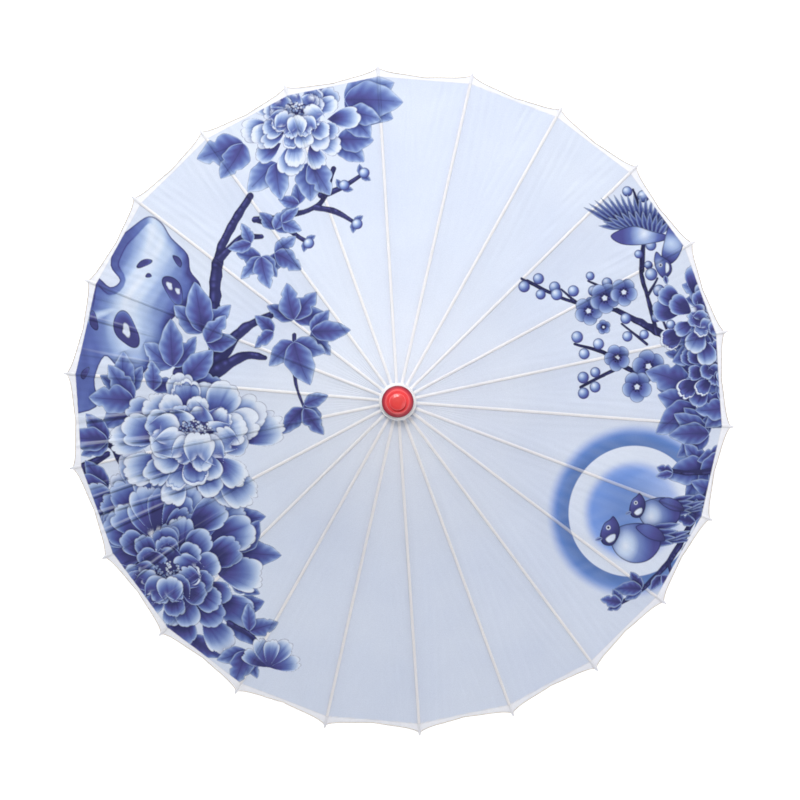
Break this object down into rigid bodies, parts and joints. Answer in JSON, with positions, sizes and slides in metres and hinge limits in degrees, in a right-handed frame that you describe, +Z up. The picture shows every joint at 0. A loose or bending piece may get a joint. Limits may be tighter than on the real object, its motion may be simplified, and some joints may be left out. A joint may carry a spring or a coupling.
{
  "type": "oil paper umbrella",
  "caption": "Round umbrella with a blue and white printed cover on slender ribs, a straight shaft, a sliding runner and a small red cap.",
  "frame": {"origin": "centre of the flat end of the handle", "axes": "+Z up the shaft towards the cap, and +X and +Y level, with the cover open"},
  "size_m": [0.838, 0.839, 0.5575],
  "materials": {
    "bamboo": "split bamboo, smooth",
    "hub_wood": "turned hardwood, oiled",
    "handle_wood": "turned hardwood, lacquered",
    "steel": "plain steel wire and pins",
    "black_plastic": "black, satin",
    "red_plastic": "red, glossy",
    "printed_cloth": "thin woven cloth with a blue and white print",
    "white_cloth": "white cloth, gathered",
    "thread": "twisted thread"
  },
  "bodies": {
    "frame": {"shaft": "bamboo", "top_hub": "hub_wood", "top_hub_wire": "steel", "catch_pin": "steel", "stop_pin": "steel", "handle": "handle_wood", "handle_ferrule": "black_plastic", "handle_end_cap": "black_plastic", "canopy": "printed_cloth", "rim_thread": "thread", "canopy_collar": "white_cloth", "finial_cap": "red_plastic", "cap_button": "red_plastic"},
    "runner": {"runner": "hub_wood", "runner_wire": "steel"},
    "catch": {"catch": "steel"},
    "rib_00": {"rib_00": "bamboo"},
    "stretcher_00": {"stretcher_00": "bamboo"},
    "rib_01": {"rib_01": "bamboo"},
    "stretcher_01": {"stretcher_01": "bamboo"},
    "rib_02": {"rib_02": "bamboo"},
    "stretcher_02": {"stretcher_02": "bamboo"},
    "rib_03": {"rib_03": "bamboo"},
    "stretcher_03": {"stretcher_03": "bamboo"},
    "rib_04": {"rib_04": "bamboo"},
    "stretcher_04": {"stretcher_04": "bamboo"},
    "rib_05": {"rib_05": "bamboo"},
    "stretcher_05": {"stretcher_05": "bamboo"},
    "rib_06": {"rib_06": "bamboo"},
    "stretcher_06": {"stretcher_06": "bamboo"},
    "rib_07": {"rib_07": "bamboo"},
    "stretcher_07": {"stretcher_07": "bamboo"},
    "rib_08": {"rib_08": "bamboo"},
    "stretcher_08": {"stretcher_08": "bamboo"},
    "rib_09": {"rib_09": "bamboo"},
    "stretcher_09": {"stretcher_09": "bamboo"},
    "rib_10": {"rib_10": "bamboo"},
    "stretcher_10": {"stretcher_10": "bamboo"},
    "rib_11": {"rib_11": "bamboo"},
    "stretcher_11": {"stretcher_11": "bamboo"},
    "rib_12": {"rib_12": "bamboo"},
    "stretcher_12": {"stretcher_12": "bamboo"},
    "rib_13": {"rib_13": "bamboo"},
    "stretcher_13": {"stretcher_13": "bamboo"},
    "rib_14": {"rib_14": "bamboo"},
    "stretcher_14": {"stretcher_14": "bamboo"},
    "rib_15": {"rib_15": "bamboo"},
    "stretcher_15": {"stretcher_15": "bamboo"},
    "rib_16": {"rib_16": "bamboo"},
    "stretcher_16": {"stretcher_16": "bamboo"},
    "rib_17": {"rib_17": "bamboo"},
    "stretcher_17": {"stretcher_17": "bamboo"},
    "rib_18": {"rib_18": "bamboo"},
    "stretcher_18": {"stretcher_18": "bamboo"},
    "rib_19": {"rib_19": "bamboo"},
    "stretcher_19": {"stretcher_19": "bamboo"},
    "rib_20": {"rib_20": "bamboo"},
    "stretcher_20": {"stretcher_20": "bamboo"},
    "rib_21": {"rib_21": "bamboo"},
    "stretcher_21": {"stretcher_21": "bamboo"}
  },
  "joints": [
    {"name": "rib_00_fold", "type": "hinge", "parent": "frame", "child": "rib_00", "pos_m": [-0.00097, 0.01547, 0.526], "axis": [-0.998, -0.0628, 0], "range_deg": [0, 66], "deforming": ["canopy", "rim_thread"]},
    {"name": "rib_01_fold", "type": "hinge", "parent": "frame", "child": "rib_01", "pos_m": [-0.00529, 0.01457, 0.526], "axis": [-0.9399, -0.3414, 0], "range_deg": [0, 66]},
    {"name": "rib_02_fold", "type": "hinge", "parent": "frame", "child": "rib_02", "pos_m": [-0.00918, 0.01249, 0.526], "axis": [-0.8056, -0.5924, 0], "range_deg": [0, 66]},
    {"name": "rib_03_fold", "type": "hinge", "parent": "frame", "child": "rib_03", "pos_m": [-0.01233, 0.0094, 0.526], "axis": [-0.6061, -0.7954, 0], "range_deg": [0, 66]},
    {"name": "rib_04_fold", "type": "hinge", "parent": "frame", "child": "rib_04", "pos_m": [-0.01448, 0.00554, 0.526], "axis": [-0.3575, -0.9339, 0], "range_deg": [0, 66]},
    {"name": "rib_05_fold", "type": "hinge", "parent": "frame", "child": "rib_05", "pos_m": [-0.01545, 0.00124, 0.526], "axis": [-0.0799, -0.9968, 0], "range_deg": [0, 66]},
    {"name": "rib_06_fold", "type": "hinge", "parent": "frame", "child": "rib_06", "pos_m": [-0.01517, -0.00316, 0.526], "axis": [0.2042, -0.9789, 0], "range_deg": [0, 66]},
    {"name": "rib_07_fold", "type": "hinge", "parent": "frame", "child": "rib_07", "pos_m": [-0.01367, -0.00731, 0.526], "axis": [0.4717, -0.8818, 0], "range_deg": [0, 66]},
    {"name": "rib_08_fold", "type": "hinge", "parent": "frame", "child": "rib_08", "pos_m": [-0.01105, -0.01087, 0.526], "axis": [0.701, -0.7131, 0], "range_deg": [0, 66]},
    {"name": "rib_09_fold", "type": "hinge", "parent": "frame", "child": "rib_09", "pos_m": [-0.00754, -0.01354, 0.526], "axis": [0.8735, -0.4868, 0], "range_deg": [0, 66]},
    {"name": "rib_10_fold", "type": "hinge", "parent": "frame", "child": "rib_10", "pos_m": [-0.00342, -0.01512, 0.526], "axis": [0.9753, -0.2209, 0], "range_deg": [0, 66]},
    {"name": "rib_11_fold", "type": "hinge", "parent": "frame", "child": "rib_11", "pos_m": [0.00097, -0.01547, 0.526], "axis": [0.998, 0.0628, 0], "range_deg": [0, 66]},
    {"name": "rib_12_fold", "type": "hinge", "parent": "frame", "child": "rib_12", "pos_m": [0.00529, -0.01457, 0.526], "axis": [0.9399, 0.3414, 0], "range_deg": [0, 66]},
    {"name": "rib_13_fold", "type": "hinge", "parent": "frame", "child": "rib_13", "pos_m": [0.00918, -0.01249, 0.526], "axis": [0.8056, 0.5924, 0], "range_deg": [0, 66]},
    {"name": "rib_14_fold", "type": "hinge", "parent": "frame", "child": "rib_14", "pos_m": [0.01233, -0.0094, 0.526], "axis": [0.6061, 0.7954, 0], "range_deg": [0, 66]},
    {"name": "rib_15_fold", "type": "hinge", "parent": "frame", "child": "rib_15", "pos_m": [0.01448, -0.00554, 0.526], "axis": [0.3575, 0.9339, 0], "range_deg": [0, 66]},
    {"name": "rib_16_fold", "type": "hinge", "parent": "frame", "child": "rib_16", "pos_m": [0.01545, -0.00124, 0.526], "axis": [0.0799, 0.9968, 0], "range_deg": [0, 66]},
    {"name": "rib_17_fold", "type": "hinge", "parent": "frame", "child": "rib_17", "pos_m": [0.01517, 0.00316, 0.526], "axis": [-0.2042, 0.9789, 0], "range_deg": [0, 66]},
    {"name": "rib_18_fold", "type": "hinge", "parent": "frame", "child": "rib_18", "pos_m": [0.01367, 0.00731, 0.526], "axis": [-0.4717, 0.8818, 0], "range_deg": [0, 66]},
    {"name": "rib_19_fold", "type": "hinge", "parent": "frame", "child": "rib_19", "pos_m": [0.01105, 0.01087, 0.526], "axis": [-0.701, 0.7131, 0], "range_deg": [0, 66]},
    {"name": "rib_20_fold", "type": "hinge", "parent": "frame", "child": "rib_20", "pos_m": [0.00754, 0.01354, 0.526], "axis": [-0.8735, 0.4868, 0], "range_deg": [0, 66]},
    {"name": "rib_21_fold", "type": "hinge", "parent": "frame", "child": "rib_21", "pos_m": [0.00342, 0.01512, 0.526], "axis": [-0.9753, 0.2209, 0], "range_deg": [0, 66]},
    {"name": "stretcher_00_swing", "type": "hinge", "parent": "rib_00", "child": "stretcher_00", "pos_m": [-0.01204, 0.19129, 0.45482], "axis": [-0.998, -0.0628, 0], "range_deg": [-132, 0]},
    {"name": "stretcher_01_swing", "type": "hinge", "parent": "rib_01", "child": "stretcher_01", "pos_m": [-0.06544, 0.18015, 0.45482], "axis": [-0.9399, -0.3414, 0], "range_deg": [-132, 0]},
    {"name": "stretcher_02_swing", "type": "hinge", "parent": "rib_02", "child": "stretcher_02", "pos_m": [-0.11354, 0.15441, 0.45482], "axis": [-0.8056, -0.5924, 0], "range_deg": [-132, 0]},
    {"name": "stretcher_03_swing", "type": "hinge", "parent": "rib_03", "child": "stretcher_03", "pos_m": [-0.15245, 0.11617, 0.45482], "axis": [-0.6061, -0.7954, 0], "range_deg": [-132, 0]},
    {"name": "stretcher_04_swing", "type": "hinge", "parent": "rib_04", "child": "stretcher_04", "pos_m": [-0.179, 0.06852, 0.45482], "axis": [-0.3575, -0.9339, 0], "range_deg": [-132, 0]},
    {"name": "stretcher_05_swing", "type": "hinge", "parent": "rib_05", "child": "stretcher_05", "pos_m": [-0.19105, 0.01531, 0.45482], "axis": [-0.0799, -0.9968, 0], "range_deg": [-132, 0]},
    {"name": "stretcher_06_swing", "type": "hinge", "parent": "rib_06", "child": "stretcher_06", "pos_m": [-0.18763, -0.03914, 0.45482], "axis": [0.2042, -0.9789, 0], "range_deg": [-132, 0]},
    {"name": "stretcher_07_swing", "type": "hinge", "parent": "rib_07", "child": "stretcher_07", "pos_m": [-0.169, -0.09041, 0.45482], "axis": [0.4717, -0.8818, 0], "range_deg": [-132, 0]},
    {"name": "stretcher_08_swing", "type": "hinge", "parent": "rib_08", "child": "stretcher_08", "pos_m": [-0.13668, -0.13436, 0.45482], "axis": [0.701, -0.7131, 0], "range_deg": [-132, 0]},
    {"name": "stretcher_09_swing", "type": "hinge", "parent": "rib_09", "child": "stretcher_09", "pos_m": [-0.09329, -0.16743, 0.45482], "axis": [0.8735, -0.4868, 0], "range_deg": [-132, 0]},
    {"name": "stretcher_10_swing", "type": "hinge", "parent": "rib_10", "child": "stretcher_10", "pos_m": [-0.04234, -0.18693, 0.45482], "axis": [0.9753, -0.2209, 0], "range_deg": [-132, 0]},
    {"name": "stretcher_11_swing", "type": "hinge", "parent": "rib_11", "child": "stretcher_11", "pos_m": [0.01204, -0.19129, 0.45482], "axis": [0.998, 0.0628, 0], "range_deg": [-132, 0]},
    {"name": "stretcher_12_swing", "type": "hinge", "parent": "rib_12", "child": "stretcher_12", "pos_m": [0.06544, -0.18015, 0.45482], "axis": [0.9399, 0.3414, 0], "range_deg": [-132, 0]},
    {"name": "stretcher_13_swing", "type": "hinge", "parent": "rib_13", "child": "stretcher_13", "pos_m": [0.11354, -0.15441, 0.45482], "axis": [0.8056, 0.5924, 0], "range_deg": [-132, 0]},
    {"name": "stretcher_14_swing", "type": "hinge", "parent": "rib_14", "child": "stretcher_14", "pos_m": [0.15245, -0.11617, 0.45482], "axis": [0.6061, 0.7954, 0], "range_deg": [-132, 0]},
    {"name": "stretcher_15_swing", "type": "hinge", "parent": "rib_15", "child": "stretcher_15", "pos_m": [0.179, -0.06852, 0.45482], "axis": [0.3575, 0.9339, 0], "range_deg": [-132, 0]},
    {"name": "stretcher_16_swing", "type": "hinge", "parent": "rib_16", "child": "stretcher_16", "pos_m": [0.19105, -0.01531, 0.45482], "axis": [0.0799, 0.9968, 0], "range_deg": [-132, 0]},
    {"name": "stretcher_17_swing", "type": "hinge", "parent": "rib_17", "child": "stretcher_17", "pos_m": [0.18763, 0.03914, 0.45482], "axis": [-0.2042, 0.9789, 0], "range_deg": [-132, 0]},
    {"name": "stretcher_18_swing", "type": "hinge", "parent": "rib_18", "child": "stretcher_18", "pos_m": [0.169, 0.09041, 0.45482], "axis": [-0.4717, 0.8818, 0], "range_deg": [-132, 0]},
    {"name": "stretcher_19_swing", "type": "hinge", "parent": "rib_19", "child": "stretcher_19", "pos_m": [0.13668, 0.13436, 0.45482], "axis": [-0.701, 0.7131, 0], "range_deg": [-132, 0]},
    {"name": "stretcher_20_swing", "type": "hinge", "parent": "rib_20", "child": "stretcher_20", "pos_m": [0.09329, 0.16743, 0.45482], "axis": [-0.8735, 0.4868, 0], "range_deg": [-132, 0]},
    {"name": "stretcher_21_swing", "type": "hinge", "parent": "rib_21", "child": "stretcher_21", "pos_m": [0.04234, 0.18693, 0.45482], "axis": [-0.9753, 0.2209, 0], "range_deg": [-132, 0]},
    {"name": "runner_carry", "type": "hinge", "parent": "stretcher_00", "child": "runner", "pos_m": [-0.00097, 0.01547, 0.38365], "axis": [-0.998, -0.0628, 0], "range_deg": [0, 66]},
    {"name": "catch_press", "type": "hinge", "parent": "frame", "child": "catch", "pos_m": [0.0012, 0, 0.33725], "axis": [0, 1, 0], "range_deg": [-8, 0], "stiffness_Nm_per_rad": 0.4, "springref_deg": 1.72}
  ],
  "couplings": [
    {"joint": "rib_01_fold", "follows": "rib_00_fold", "ratio": 1},
    {"joint": "rib_02_fold", "follows": "rib_00_fold", "ratio": 1},
    {"joint": "rib_03_fold", "follows": "rib_00_fold", "ratio": 1},
    {"joint": "rib_04_fold", "follows": "rib_00_fold", "ratio": 1},
    {"joint": "rib_05_fold", "follows": "rib_00_fold", "ratio": 1},
    {"joint": "rib_06_fold", "follows": "rib_00_fold", "ratio": 1},
    {"joint": "rib_07_fold", "follows": "rib_00_fold", "ratio": 1},
    {"joint": "rib_08_fold", "follows": "rib_00_fold", "ratio": 1},
    {"joint": "rib_09_fold", "follows": "rib_00_fold", "ratio": 1},
    {"joint": "rib_10_fold", "follows": "rib_00_fold", "ratio": 1},
    {"joint": "rib_11_fold", "follows": "rib_00_fold", "ratio": 1},
    {"joint": "rib_12_fold", "follows": "rib_00_fold", "ratio": 1},
    {"joint": "rib_13_fold", "follows": "rib_00_fold", "ratio": 1},
    {"joint": "rib_14_fold", "follows": "rib_00_fold", "ratio": 1},
    {"joint": "rib_15_fold", "follows": "rib_00_fold", "ratio": 1},
    {"joint": "rib_16_fold", "follows": "rib_00_fold", "ratio": 1},
    {"joint": "rib_17_fold", "follows": "rib_00_fold", "ratio": 1},
    {"joint": "rib_18_fold", "follows": "rib_00_fold", "ratio": 1},
    {"joint": "rib_19_fold", "follows": "rib_00_fold", "ratio": 1},
    {"joint": "rib_20_fold", "follows": "rib_00_fold", "ratio": 1},
    {"joint": "rib_21_fold", "follows": "rib_00_fold", "ratio": 1},
    {"joint": "stretcher_00_swing", "follows": "rib_00_fold", "ratio": -2},
    {"joint": "stretcher_01_swing", "follows": "rib_00_fold", "ratio": -2},
    {"joint": "stretcher_02_swing", "follows": "rib_00_fold", "ratio": -2},
    {"joint": "stretcher_03_swing", "follows": "rib_00_fold", "ratio": -2},
    {"joint": "stretcher_04_swing", "follows": "rib_00_fold", "ratio": -2},
    {"joint": "stretcher_05_swing", "follows": "rib_00_fold", "ratio": -2},
    {"joint": "stretcher_06_swing", "follows": "rib_00_fold", "ratio": -2},
    {"joint": "stretcher_07_swing", "follows": "rib_00_fold", "ratio": -2},
    {"joint": "stretcher_08_swing", "follows": "rib_00_fold", "ratio": -2},
    {"joint": "stretcher_09_swing", "follows": "rib_00_fold", "ratio": -2},
    {"joint": "stretcher_10_swing", "follows": "rib_00_fold", "ratio": -2},
    {"joint": "stretcher_11_swing", "follows": "rib_00_fold", "ratio": -2},
    {"joint": "stretcher_12_swing", "follows": "rib_00_fold", "ratio": -2},
    {"joint": "stretcher_13_swing", "follows": "rib_00_fold", "ratio": -2},
    {"joint": "stretcher_14_swing", "follows": "rib_00_fold", "ratio": -2},
    {"joint": "stretcher_15_swing", "follows": "rib_00_fold", "ratio": -2},
    {"joint": "stretcher_16_swing", "follows": "rib_00_fold", "ratio": -2},
    {"joint": "stretcher_17_swing", "follows": "rib_00_fold", "ratio": -2},
    {"joint": "stretcher_18_swing", "follows": "rib_00_fold", "ratio": -2},
    {"joint": "stretcher_19_swing", "follows": "rib_00_fold", "ratio": -2},
    {"joint": "stretcher_20_swing", "follows": "rib_00_fold", "ratio": -2},
    {"joint": "stretcher_21_swing", "follows": "rib_00_fold", "ratio": -2},
    {"joint": "runner_carry", "follows": "rib_00_fold", "ratio": 1}
  ]
}
